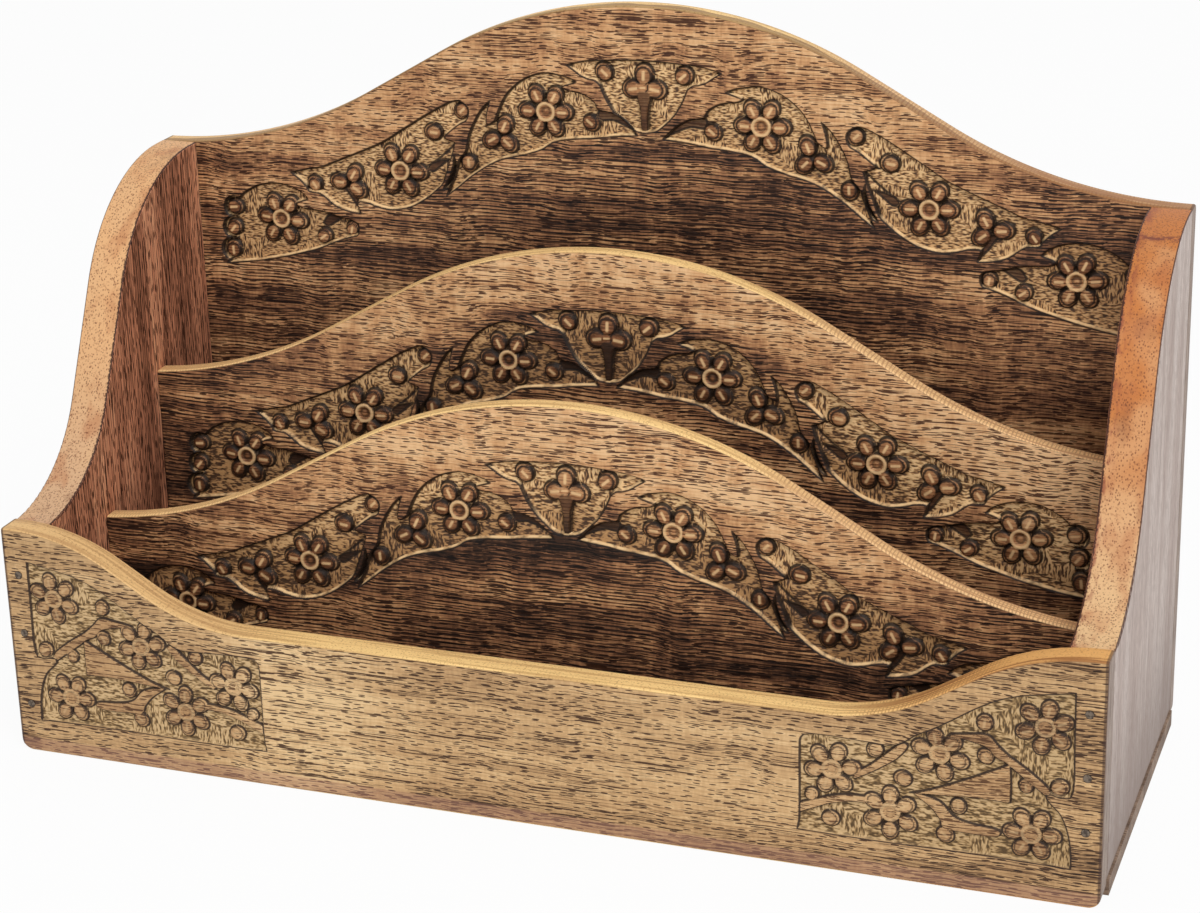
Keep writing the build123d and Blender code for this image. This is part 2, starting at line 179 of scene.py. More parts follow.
# Carved corner of the front panel, drawn once for one end: distance from the middle and height
CORNER_GROUND = [
    (145.3, 58), (145.3, 58), (140, 57), (135, 56.1), (130, 54.9), (125, 52.9), (120, 50), (115, 46.6),
    (110, 43.4), (106, 41.2), (102.5, 38.6), (99.5, 37.4), (95, 37.4), (85, 37.8), (78.5, 37.6), (76.2, 36.4),
    (75.8, 33), (75.8, 22), (75.7, 14), (75.2, 10.4), (75.2, 10.4), (85, 10.2), (100, 10.2), (115, 10.4),
    (130, 10.4), (140, 10.2), (145.4, 10.0), (145.4, 10.0), (145.2, 15), (144.3, 20), (142.4, 24.6),
    (139, 28.2), (139.6, 29.8), (143, 29.3), (145.4, 31.5), (145.4, 45),
]
CORNER_LEAVES = [
    [(129.6, 36.4), (129.6, 36.4), (124, 33.4), (117, 29.8), (110, 26.6), (104.2, 24.6), (104.2, 24.6),
     (113, 25.2), (122, 25.8), (129.8, 25.6), (129.8, 25.6), (129.9, 31)],
    [(139.6, 28.4), (135.2, 31.4), (131.4, 34.2), (128.6, 36.4), (126, 37.6), (123.6, 40), (119, 41.2),
     (114.0, 42.2), (119, 43.2), (123.8, 43.6), (126.4, 41.2), (129.2, 38.7), (132.4, 36.6), (136, 34),
     (139.4, 31)],
    [(102.0, 38.2), (98, 34.6), (94, 31), (90.2, 28.2), (90.2, 26.6), (94, 28.6), (98.4, 31.6), (101.4, 34),
     (103.8, 37.4)],
    [(127, 17.8), (120, 18.6), (115.6, 20), (112, 23.6), (105.2, 25.0), (109.5, 21.6), (112, 18.6),
     (113.4, 16.2), (120, 15.6), (126.6, 15.8)],
    [(95.4, 20.2), (90, 20.0), (84, 18.6), (78.6, 16.2), (75.4, 15.0), (75.4, 17.4), (80, 19.4), (85, 21.2),
     (90, 22), (95, 21.8)],
]
CORNER_FLOWERS = [(138.0, 47.6, 20), (111.8, 36.6, 45), (84.2, 28.4, 10), (135.2, 18.0, 0), (99.4, 18.6, 30)]
CORNER_BERRIES = [
    (142.0, 31.8, 2.4), (123.0, 46.8, 2.3), (123.4, 37.6, 2.2), (102.6, 28.4, 2.4), (95.4, 35.4, 2.3),
    (116.8, 22.8, 2.3), (113.6, 14.4, 2.4), (84.0, 14.4, 2.4), (79.0, 20.6, 1.9), (133.6, 31.0, 2.0),
]
CORNER_FLOWER_SIZE = 0.9
CORNER_SHIFTS = ((0.0, 1.0, 0.0), (-0.6, 1.0, 0.2))

PETALS = 6
PETAL_REACH = 5.55
PETAL_LENGTH = 2.85
PETAL_WIDTH = 2.45
LOBE_REACH = 3.4
LOBE_LENGTH = 3.0
LOBE_WIDTH = 2.5
HEART_LOBE_REACH = 1.07 * LOBE_REACH
HEART_LOBE_WIDTH = 2.8
BERRY_ROUNDNESS = 0.93
BERRY_HOLLOW = 0.9
BERRY_TURN = 35
BERRY_TURN_STEP = 47
RING_RADIUS = 3.2
PIT_RADIUS = 1.7


# Outlines of the boards


def s_curve_height(across, rise, angle, foot_share, place):
    """Height, above the lower level end, of an arc-flank-arc curve at places counted from that end."""
    turn = radians(angle)
    radius_sum = (across * sin(turn) - rise * cos(turn)) / (1 - cos(turn))
    foot = radius_sum * foot_share
    head = radius_sum - foot
    place = np.clip(place, 0, across)
    on_foot = foot - np.sqrt(np.maximum(foot**2 - place**2, 0))
    on_head = rise - head + np.sqrt(np.maximum(head**2 - (across - place) ** 2, 0))
    flank = foot * (1 - cos(turn)) + (place - foot * sin(turn)) * np.tan(turn)
    height = np.where(place < foot * sin(turn), on_foot, flank)
    return np.where(across - place < head * sin(turn), on_head, height)


def arch_height(x, end_height):
    """Height of the arched top edge."""
    place = HALF_WIDTH - abs(x)
    return end_height + s_curve_height(HALF_WIDTH, ARCH_RISE, ARCH_ANGLE, ARCH_FOOT_SHARE, place)


def scoop_height(x):
    """Height of the front panel's top edge."""
    across = HALF_WIDTH - FRONT_END_FLAT - SCOOP_HALF_WIDTH
    rise = FRONT_END_HEIGHT - SCOOP_HEIGHT
    return SCOOP_HEIGHT + s_curve_height(across, rise, SCOOP_ANGLE, 0.5, abs(x) - SCOOP_HALF_WIDTH)


def rounded_foot(x):
    """Height of a lower edge with rounded corners at the rack's ends."""
    over = np.clip(abs(x) - (HALF_WIDTH - CORNER_RADIUS), 0, CORNER_RADIUS)
    return CORNER_RADIUS - np.sqrt(CORNER_RADIUS**2 - over**2)


# Distances that the carving is made from


def smooth_step(low, high, value):
    """0 up to low, 1 from high, with an eased rise between."""
    part = np.clip((value - low) / (high - low), 0, 1)
    return part * part * (3 - 2 * part)


def smooth_outline(points, steps=5):
    """Closed curve through the points, with a sharp tip where a point is given twice."""
    points = np.array(points, float)
    before = np.roll(points, 1, 0)
    after = np.roll(points, -1, 0)
    beyond = np.roll(points, -2, 0)
    curve = []
    for a, b, c, d in zip(before, points, after, beyond):
        if np.allclose(b, c):
            continue
        bend = 2 * a - 5 * b + 4 * c - d
        twist = 3 * b - a - 3 * c + d
        for t in np.arange(steps) / steps:
            curve.append(0.5 * (2 * b + (c - a) * t + bend * t**2 + twist * t**3))
    return np.array(curve)


def outline_distance(x, z, points):
    """Signed distance to a smooth closed outline, negative inside."""
    curve = smooth_outline(points)
    distance = np.full(x.shape, FAR)
    near = (x > curve[:, 0].min() - FAR) & (x < curve[:, 0].max() + FAR)
    near &= (z > curve[:, 1].min() - FAR) & (z < curve[:, 1].max() + FAR)
    px, pz = x[near], z[near]
    best = np.full(px.shape, FAR**2)
    inside = np.zeros(px.shape, bool)
    for (ax, az), (bx, bz) in zip(curve, np.roll(curve, -1, 0)):
        ex, ez = bx - ax, bz - az
        along = np.clip(((px - ax) * ex + (pz - az) * ez) / (ex * ex + ez * ez + 1e-12), 0, 1)
        best = np.minimum(best, (px - ax - along * ex) ** 2 + (pz - az - along * ez) ** 2)
        if az != bz:
            inside ^= ((az > pz) != (bz > pz)) & (px < ax + (pz - az) / ez * ex)
    distance[near] = np.where(inside, -1, 1) * np.sqrt(best)
    return distance


def line_distance(x, z, points):
    """Distance to an open line through the points."""
    best = np.full(x.shape, FAR**2)
    for (ax, az), (bx, bz) in zip(points, points[1:]):
        ex, ez = bx - ax, bz - az
        along = np.clip(((x - ax) * ex + (z - az) * ez) / (ex * ex + ez * ez), 0, 1)
        best = np.minimum(best, (x - ax - along * ex) ** 2 + (z - az - along * ez) ** 2)
    return np.sqrt(best)


class Relief:
    """Carving over a grid of points: sunk ground, and pads left standing in it.

    ground and pad are distances to the nearest outline, negative inside. Their third value is 1 where a
    highlight is painted on a ridge worn pale, and -1 where painted shade darkens a cut or hollow.
    """

    def __init__(self, x, z, depth):
        self.x = x
        self.z = z
        self.depth = depth
        self.ground = np.full(x.shape, FAR)
        self.pad = np.full(x.shape, FAR)
        self.pad_height = np.full(x.shape, -depth)
        self.painted_light_and_wear = np.zeros(x.shape)

    def sink(self, points):
        """Sunk ground inside an outline."""
        self.ground = np.minimum(self.ground, outline_distance(self.x, self.z, points))

    def leave(self, points, painted_light_and_wear=0.0, depth_share=0.1):
        """Flat leaf left standing a little under the face."""
        distance = outline_distance(self.x, self.z, points)
        height = np.full(self.x.shape, -depth_share * self.depth)
        self.stand(distance, height, np.full(self.x.shape, painted_light_and_wear))

    def cut(self, points):
        """Smooth leaf, cut a little deeper than the ground and darkened with painted shade."""
        self.leave(points, -0.55, 1.25)

    def score(self, points):
        """Thin dark groove."""
        self.pad = np.minimum(self.pad, line_distance(self.x, self.z, points))

    def stand(self, distance, height, painted_light_and_wear):
        """Pad with its own height and painted light, where it is the nearest."""
        closer = distance < self.pad
        self.pad_height = np.where(closer, height, self.pad_height)
        self.painted_light_and_wear = np.where(closer, painted_light_and_wear, self.painted_light_and_wear)
        self.pad = np.minimum(self.pad, distance)

    def dome(self, cx, cz, length, width, turn):
        """Oval pad, scooped down towards its outer end.

        A streak of painted highlight on wood worn pale runs along its middle, and a crescent of painted shade
        and then a lip with a painted highlight lie at its outer end.
        """
        dx, dz = self.x - cx, self.z - cz
        along = (dx * cos(turn) + dz * sin(turn)) / length
        across = (dz * cos(turn) - dx * sin(turn)) / width
        radius = np.sqrt(along**2 + across**2)
        distance = (radius - 1) * min(length, width)
        scoop = smooth_step(-0.8, 0.8, along)
        height = -self.depth * (0.05 + 0.35 * scoop + 0.25 * np.minimum(radius**6, 1))
        streak = np.exp(-((across / 0.21) ** 2)) * smooth_step(0.58, 0.42, abs(along + 0.15))
        outward = radius + 0.25 * along
        lip = smooth_step(0.88, 1.0, outward) * smooth_step(-0.4, 0.2, along)
        crescent = smooth_step(0.64, 0.76, outward) - lip
        # Painted light: highlight along the streak and on the lip, shade in the crescent.
        self.stand(distance, height, 1.1 * streak - 0.2 - 0.8 * crescent + 0.6 * lip)

    def petal(self, cx, cz, turn, reach, length, width, mirror=1):
        """Dome set off from a middle, with its outer end away from that."""
        dx = mirror * reach * cos(radians(turn))
        dz = reach * sin(radians(turn))
        self.dome(cx + dx, cz + dz, length, width, np.arctan2(dz, dx))

    def flower(self, cx, cz, start, mirror, size):
        """Six petals round a ring with a pitted middle, from whose pit a small button rises."""
        for number in range(PETALS):
            turn = start + 360 / PETALS * number
            reach = size * (PETAL_REACH + 0.3 * sin(7 * number + cx))
            self.petal(cx, cz, turn, reach, size * PETAL_LENGTH, size * PETAL_WIDTH, mirror)
        radius = np.hypot(self.x - cx, self.z - cz) / size
        rim = (radius - 0.5 * (RING_RADIUS + PIT_RADIUS)) / (0.5 * (RING_RADIUS - PIT_RADIUS))
        button = np.exp(-((radius / 0.7) ** 2))
        height = -0.05 * self.depth - 0.4 * self.depth * np.minimum(rim**2, 1.6) + 0.3 * self.depth * button
        pit = smooth_step(PIT_RADIUS + 0.2, PIT_RADIUS - 0.4, radius)
        # The ring and the button get a painted highlight, and the pit painted shade.
        self.stand(radius - RING_RADIUS, height, 0.75 * np.exp(-(rim**2)) - 0.6 * pit + 0.9 * button)

    def dimple(self, cx, cz, radius):
        """Round hollow."""
        self.ground = np.minimum(self.ground, np.hypot(self.x - cx, self.z - cz) - radius)

    def lower_wall(self):
        """1 at a border whose wall faces up, -1 where it faces down."""
        return np.clip(-np.gradient(self.ground, axis=0) / np.gradient(self.z, axis=0), -1, 1)

    def height(self):
        """Height of the carved face, 0 where it isn't carved."""
        recess = smooth_step(0.1, -0.55, self.ground)
        trench = 0.3 * self.depth * np.exp(-((self.pad - 0.3) ** 2) / 0.16)
        sunk = -(self.depth + trench) * recess
        standing = smooth_step(0.12, -0.38, self.pad) * recess
        return sunk + (self.pad_height - sunk) * standing


def half_points(points, mirror, shift):
    """Stencil points set on one half of a board."""
    slide, stretch, lift = shift
    return [(mirror * (x * stretch + slide), z + lift) for x, z in points]


class HalfCarver:
    """Carves stencil forms into one half of a board."""

    def __init__(self, relief, mirror, shift, crown=0.0):
        slide, stretch, lift = shift
        self.relief = relief
        self.mirror = mirror
        self.shift = (slide, stretch, lift + crown)

    def outlines(self, method, outlines):
        for points in outlines:
            method(half_points(points, self.mirror, self.shift))

    def spot(self, x, z):
        return half_points([(x, z)], self.mirror, self.shift)[0]

    def flowers(self, flowers, size):
        for x, z, start in flowers:
            self.relief.flower(*self.spot(x, z), start, self.mirror, size)

    def berries(self, berries):
        for number, (x, z, radius) in enumerate(berries):
            turn = radians(BERRY_TURN + BERRY_TURN_STEP * number)
            self.relief.dome(*self.spot(x, z), radius, radius * BERRY_ROUNDNESS, turn)

    def trefoils(self, trefoils):
        for x, z, turns in trefoils:
            cx, cz = self.spot(x, z)
            for turn in turns:
                self.relief.petal(cx, cz, turn, LOBE_REACH, LOBE_LENGTH, LOBE_WIDTH, self.mirror)


def carve_band(relief, crown, shifts):
    """Carve the arched flower band."""
    for mirror, shift in zip((-1, 1), shifts):
        half = HalfCarver(relief, mirror, shift, crown)
        half.outlines(relief.sink, [OUTER_GROUND, MIDDLE_GROUND, NOTCH_GROUND, INNER_GROUND])
        half.outlines(relief.cut, BAND_CUTS)
        half.outlines(relief.score, BAND_SCORES)
        half.berries(BAND_BERRIES + END_BERRIES)
        for x, z, radius in END_BERRIES:
            relief.dimple(*half.spot(x, z), radius + BERRY_HOLLOW)
        half.trefoils(BAND_TREFOILS)
        half.flowers(BAND_FLOWERS, 1.0)
    carve_heart(relief, crown + (shifts[0][2] + shifts[1][2]) / 2)


def carve_heart(relief, lift):
    """Carve the heart-shaped field in the middle of a band, with its flower on a stem and two berries."""
    right = half_points(HEART_GROUND, 1, (0, 1, lift))
    left = half_points(HEART_GROUND[1:-1], -1, (0, 1, lift))
    relief.sink(right + left[::-1])
    # The stem is darkened with painted shade.
    relief.leave(half_points(HEART_STEM, 1, (0, 1, lift)), -0.5)
    hub_z, hub_radius = HEART_HUB
    relief.dome(0, hub_z + lift, hub_radius, hub_radius, 0)
    for turn in HEART_LOBE_TURNS:
        relief.petal(0, HEART_LOBES_Z + lift, turn, HEART_LOBE_REACH, LOBE_LENGTH, HEART_LOBE_WIDTH)
    x, z, radius = HEART_BERRY
    for mirror in (-1, 1):
        turn = radians(90 - 50 * mirror)
        relief.dome(mirror * x, z + lift, radius, radius * BERRY_ROUNDNESS, turn)


def carve_corners(relief):
    """Carve the two ornaments of the front panel and sink a little dimple round each brad."""
    for mirror, shift, heights in zip((-1, 1), CORNER_SHIFTS, (LEFT_BRAD_HEIGHTS, RIGHT_BRAD_HEIGHTS)):
        half = HalfCarver(relief, mirror, shift)
        half.outlines(relief.sink, [CORNER_GROUND])
        half.outlines(relief.leave, CORNER_LEAVES)
        half.berries(CORNER_BERRIES)
        half.flowers(CORNER_FLOWERS, CORNER_FLOWER_SIZE)
        for height in heights:
            relief.dimple(mirror * BRAD_X, height, DIMPLE_RADIUS)


# Board meshes

CORNER_TURNS = np.radians([0, 30, 60, 90])
LOWER_EDGE_ROWS = 3
UPPER_EDGE_ROWS = 6
BACK_SHARES = (0.25, 0.5, 0.75)
LEAST_GAP = 0.05
SHARP_ANGLE = 55

# Strips of a board's bake map: its loops in the middle and a cap at each side
MAP_LOW = 0.005
LOOPS_HEIGHT = 0.99
LOOPS_START = 0.02
LOOPS_WIDTH = 0.96
CAP_HEIGHT = 0.985
CAP_WIDTH = 0.009
CAP_STARTS = (0.005, 0.986)


def spaced(low, high, step):
    return np.linspace(low, high, int(round((high - low) / step)) + 1)


def eased_columns(columns):
    """Columns with a rounded end at each side, and how far the board is drawn in at each of them."""
    turns = CORNER_TURNS[::-1]
    end_inset = EASE * (1 - np.cos(turns))
    end_x = columns[-1] - EASE * (1 - np.sin(turns))
    inner = columns[np.abs(columns) < end_x[-1] - LEAST_GAP]
    x = np.concatenate([-end_x, inner, end_x[::-1]])
    inset = np.concatenate([end_inset, np.zeros(inner.size), end_inset[::-1]])
    return x, inset


def corner_rows(face_y, end_z, into_y, into_z, turns):
    """Rows of points along a rounded long edge, inward from a face and from the top or foot."""
    rows_y = [face_y + into_y * EASE * (1 - np.cos(turn)) for turn in turns]
    rows_z = [end_z + into_z * EASE * (1 - np.sin(turn)) for turn in turns]
    return rows_y, rows_z


def back_rows(face_y, low, high):
    """Rows of points down the plain back face."""
    rows_z = [high - EASE + (low - high + 2 * EASE) * share for share in BACK_SHARES]
    return [face_y] * len(rows_z), rows_z


def add_object(name, data):
    made = bpy.data.objects.new(name, data)
    bpy.context.scene.collection.objects.link(made)
    return made


def add_layer(mesh, name, kind, field, values):
    """Values at the mesh's points, for its material to read."""
    layer = mesh.attributes.new(name, kind, "POINT")
    layer.data.foreach_set(field, values.reshape(-1))


class Board:
    """Closed board: one loop of points round it for each column, and a cap at each end.

    rows gives the front face's places from its foot (0) to its top (1) at each column, carve the carving of
    that face, and tone how pale the wood is at each column and distance under the top edge, less the
    painted shade on a carved band.
    """

    def __init__(self, name, columns, top, foot, front_y, back_y, rows, carve, tone):
        self.name = name
        self.front_y = front_y
        self.thickness = back_y - front_y
        self.x, inset = eased_columns(columns)
        high = top(self.x) - inset
        low = foot(self.x) + inset
        near_y = front_y + inset
        far_y = back_y - inset
        face_z = (low + EASE) + (high - low - 2 * EASE) * rows(self.x)
        self.relief = carve(np.broadcast_to(self.x, face_z.shape), face_z)
        sections = [
            corner_rows(near_y, low, 1, 1, CORNER_TURNS[:0:-1]),
            (near_y - self.relief.height(), face_z),
            corner_rows(near_y, high, 1, -1, CORNER_TURNS[1:]),
            corner_rows(far_y, high, -1, -1, CORNER_TURNS[::-1]),
            back_rows(far_y, low, high),
            corner_rows(far_y, low, -1, 1, CORNER_TURNS),
        ]
        self.y = np.concatenate([rows_y for rows_y, rows_z in sections])
        self.z = np.concatenate([rows_z for rows_y, rows_z in sections])
        self.tone = tone(self.x, high - self.z)
        self.count, self.total = self.y.shape
        self.column, self.row = np.meshgrid(np.arange(self.total - 1), np.arange(self.count), indexing="ij")

    def mesh(self):
        """Quads between neighbouring loops, and the two caps."""
        points = np.stack([np.broadcast_to(self.x, self.y.shape), self.y, self.z], -1)
        points = points.transpose(1, 0, 2).reshape(-1, 3) * MM
        first = self.column * self.count
        second = first + self.count
        following = (self.row + 1) % self.count
        quads = np.stack([first + self.row, second + self.row, second + following, first + following], -1)
        faces = quads.reshape(-1, 4).tolist()
        faces.append(list(range(self.count)))
        faces.append(list(range(self.total * self.count - 1, (self.total - 1) * self.count - 1, -1)))
        mesh = bpy.data.meshes.new(self.name)
        mesh.from_pydata(points.tolist(), [], faces)
        mesh.polygons.foreach_set("use_smooth", [True] * len(faces))
        mesh.set_sharp_from_angle(angle=radians(SHARP_ANGLE))
        return mesh

    def mark(self, mesh):
        """Give the points what the material reads: the carving's distances and painted light, the tone and
        the edges.
        """
        relief = self.relief
        first = LOWER_EDGE_ROWS
        last = first + relief.x.shape[0]
        carving = np.zeros((self.total, self.count, 4))
        carving[..., 0:2] = FAR
        carved = (relief.ground, relief.pad, relief.painted_light_and_wear, relief.lower_wall())
        carving[:, first:last] = np.stack(carved, -1).transpose(1, 0, 2)
        edge = np.zeros((self.total, self.count))
        edge[:, :first] = 1.0
        edge[:, last:last + UPPER_EDGE_ROWS] = 1.0
        add_layer(mesh, "carving", "FLOAT_COLOR", "color", carving)
        add_layer(mesh, "tone", "FLOAT", "value", self.tone.T)
        add_layer(mesh, "edge", "FLOAT", "value", edge)

    def unwrap(self, mesh):
        """Lay the loops side by side in the bake map, with a cap in a narrow strip at each side."""
        middle = self.total // 2
        steps = np.hypot(np.diff(self.y[:, middle]), np.diff(self.z[:, middle]))
        around = np.concatenate([[0], np.cumsum(steps), [np.sum(steps) + self.thickness]])
        around = MAP_LOW + LOOPS_HEIGHT * around / around[-1]
        across = LOOPS_START + LOOPS_WIDTH * (self.x - self.x[0]) / (self.x[-1] - self.x[0])
        near, far = across[self.column], across[self.column + 1]
        low, high = around[self.row], around[self.row + 1]
        quads = np.stack([np.stack([near, far, far, near], -1), np.stack([low, low, high, high], -1)], -1)
        end_y = self.y[:, 0] - self.front_y
        end_z = self.z[:, 0] - self.z[:, 0].min()
        cap = np.stack([CAP_WIDTH * end_y / self.thickness, MAP_LOW + CAP_HEIGHT * end_z / end_z.max()], -1)
        first_cap, last_cap = (cap + (start, 0) for start in CAP_STARTS)
        layer = mesh.uv_layers.new(name="OFBake")
        corners = np.concatenate([quads.reshape(-1, 2), first_cap, last_cap[::-1]])
        layer.uv.foreach_set("vector", corners.reshape(-1))

    def place(self):
        """Add the board to the scene in place of its CAD node."""
        name = self.name
        mesh = self.mesh()
        self.mark(mesh)
        self.unwrap(mesh)
        piece = add_object(name + "_carved", mesh)
        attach(piece, "root")
        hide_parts(name)
        return piece


def level_foot(x):
    return np.full(np.shape(x), BOTTOM_THICKNESS)


def band_rows(top, foot):
    """Rows of an arched board's face, close together over the carved band."""

    def rows(x):
        height = top(x) - foot(x) - 2 * EASE
        below = np.linspace(0, 1, ROWS_BELOW + 1)[:-1, None] * (height - BAND_LOW)
        band = height - spaced(BAND_LOW, BAND_TOP, -CARVE_STEP)[:, None] + 0 * x
        above = height - np.linspace(BAND_TOP, 0, ROWS_ABOVE + 1)[1:, None] + 0 * x
        return np.concatenate([below, band, above]) / height

    return rows


def arched_tone(name):
    """Pale above the carved band in the middle, dark below the band and towards the ends, with painted shade
    on the band.
    """
    foot_tone, paleness, left_fade, right_fade, middle_shade, end_shade = BOARD_TONES[name]

    def tone(x, drop):
        above = smooth_step(42, 14, drop)
        left = 1 - left_fade * smooth_step(40, 130, -x)
        right = 1 - right_fade * smooth_step(50, 120, x)
        ends = left_fade * smooth_step(95, 140, -x) + right_fade * smooth_step(95, 140, x)
        wood = foot_tone + 0.05 * smooth_step(50, 110, -x) + 0.1 * smooth_step(50, 110, x)
        wood = wood + above * (paleness * left * right - 0.14 * ends)
        # Painted shade over the carved band, set for its middle and for its ends.
        shade = middle_shade + (end_shade - middle_shade) * smooth_step(20, 75, abs(x))
        return wood - shade * smooth_step(12, 18, drop) * smooth_step(46, 36, drop)

    return tone


def arched_board(name, foot):
    """Back panel or divider with its carved band."""
    half_width, end_height, front_y, back_y = ARCHED_BOARDS[name]

    def top(x):
        return arch_height(x, end_height)

    def carve(x, z):
        relief = Relief(x, z, BAND_DEPTH)
        carve_band(relief, end_height + ARCH_RISE, STENCIL_SHIFTS[name])
        return relief

    columns = spaced(-half_width, half_width, CARVE_STEP)
    rows = band_rows(top, foot)
    return Board(name, columns, top, foot, front_y, back_y, rows, carve, arched_tone(name)).place()


def front_tone(x, drop):
    """Palest left of the middle, darker along the foot, at the right end and at the scuffed left corner."""
    height = scoop_height(x) - drop
    pale = 0.34 * smooth_step(-95, -75, x) * smooth_step(-20, -60, x)
    dark = 0.13 * smooth_step(85, 145, x) + 0.1 * smooth_step(22, 8, height) * smooth_step(-110, -70, x)
    scuff = 0.4 * smooth_step(9, 3, np.hypot(x + HALF_WIDTH, height))
    return 0.63 + pale - dark - scuff


def front_board():
    """Front panel with its two carved corners."""

    def rows(x):
        return np.broadcast_to(np.linspace(0, 1, FRONT_ROWS)[:, None], (FRONT_ROWS, x.size))

    def carve(x, z):
        relief = Relief(x, z, CORNER_DEPTH)
        carve_corners(relief)
        return relief

    end = spaced(CORNER_START, HALF_WIDTH, CARVE_STEP)
    columns = np.concatenate([-end[::-1], spaced(-PLAIN_HALF_WIDTH, PLAIN_HALF_WIDTH, PLAIN_STEP), end])
    front_y = FRONT_Y + FRONT_SETBACK
    back_y = FRONT_Y + FRONT_THICKNESS
    shape = (columns, scoop_height, rounded_foot, front_y, back_y, rows, carve, front_tone)
    return Board("front_panel", *shape).place()


back_board = arched_board("back_panel", rounded_foot)
middle_board = arched_board("middle_divider", level_foot)
low_board = arched_board("front_divider", level_foot)
front_piece = front_board()


# Materials

LINE_GAP = 1.05 * MM
DASH_CELL_LENGTH = 6.0 * MM
DASH_CELL_WIDTH = 0.95 * MM
SAW_GAP = 0.95 * MM
BUMP_DEPTH = 0.4 * MM
PORES_PER_METRE = (1500, 1300, 900)


def is_socket(value):
    return isinstance(value, bpy.types.NodeSocket)


def linear_colour(colour):
    """Linear colour of a screen colour, which is red, green and blue from 0 to 255. Sockets are passed on."""

    def linear(value):
        value = value / 255
        return value / 12.92 if value <= 0.04045 else ((value + 0.055) / 1.055) ** 2.4

    return colour if is_socket(colour) else (*(linear(value) for value in colour), 1.0)


def node(kind, inputs=(), tree=None, **settings):
    """Add a node to the given tree, or else to that of its input sockets, and return its outputs."""
    inputs = dict(inputs)
    tree = tree or next(value.id_data for value in inputs.values() if is_socket(value))
    made = tree.nodes.new(kind)
    for key, value in settings.items():
        setattr(made, key, value)
    for key, value in inputs.items():
        if is_socket(value):
            tree.links.new(value, made.inputs[key])
        else:
            made.inputs[key].default_value = value
    return made.outputs


def compute(operation, first, second=0.0):
    return node("ShaderNodeMath", {0: first, 1: second}, operation=operation)[0]


def add(first, *others):
    for other in others:
        first = compute("ADD", first, other)
    return first


def times(first, *others):
    for other in others:
        first = compute("MULTIPLY", first, other)
    return first


def minus(first, second):
    return compute("SUBTRACT", first, second)


def larger(first, second):
    return compute("MAXIMUM", first, second)


def off(value, middle=None):
    """How far a value is off a middle, which is 0 unless it is given."""
    return compute("ABSOLUTE", value if middle is None else minus(value, middle))


def parts(vector):
    return node("ShaderNodeSeparateXYZ", {0: vector})


def ramp(value, low, high, start=0.0, end=1.0):
    inputs = {"Value": value, "From Min": low, "From Max": high, "To Min": start, "To Max": end}
    return node("ShaderNodeMapRange", inputs, interpolation_type="SMOOTHSTEP")[0]


def between(place, low, high, start=0.0, end=1.0):
    """Ramp over places given in millimetres."""
    return ramp(place, low * MM, high * MM, start, end)


def sway(value, amount):
    """Noise as a swing to both sides of 0."""
    return ramp(value, 0.3, 0.7, -amount, amount)


def mix(share, first, second, blend="MIX"):
    """Blend of two colours, each a socket or a screen colour."""
    inputs = {0: share, 6: linear_colour(first), 7: linear_colour(second)}
    return node("ShaderNodeMix", inputs, data_type="RGBA", blend_type=blend)[2]


def colour_stops(value, stops):
    """Colour ramp over the stops, pairs of a place and a screen colour."""
    colour_out = node("ShaderNodeValToRGB", {"Fac": value})[0]
    elements = colour_out.node.color_ramp.elements
    elements.remove(elements[0])
    for number, (place, colour) in enumerate(stops):
        element = elements[0] if number == 0 else elements.new(place)
        element.position = place
        element.color = linear_colour(colour)
    return colour_out


def noise(place, size, detail=2.0, roughness=0.5, shift=0.0):
    """Noise whose grain is as large as size, three lengths in millimetres."""
    scale = tuple(1 / (MM * length) for length in size)
    location = (shift, shift * 0.7, shift * 1.3)
    spot = node("ShaderNodeMapping", {"Vector": place, "Scale": scale, "Location": location})[0]
    inputs = {"Vector": spot, "Scale": 1.0, "Detail": detail, "Roughness": roughness}
    return node("ShaderNodeTexNoise", inputs)["Fac"]


def spots(place, size, low, high, most, detail=2.0, shift=0.0):
    """Noisy spots: 0 where the noise is low, and most where it is high."""
    return ramp(noise(place, size, detail, shift=shift), low, high, 0.0, most)


def new_material(name):
    """Empty material and its tree."""
    material = bpy.data.materials.new(name)
    material.use_nodes = True
    material.node_tree.nodes.clear()
    return material, material.node_tree


def object_place(tree):
    return node("ShaderNodeTexCoord", tree=tree)["Object"]


def finish(colour, roughness, height, strength, **extra):
    """Close a material with a finely bumped surface."""
    bump = node("ShaderNodeBump", {"Height": height, "Strength": strength, "Distance": BUMP_DEPTH})[0]
    look = {"Base Color": colour, "Roughness": roughness, "Normal": bump, "Specular IOR Level": 0.25, **extra}
    surface = node("ShaderNodeBsdfPrincipled", look)[0]
    node("ShaderNodeOutputMaterial", {"Surface": surface})


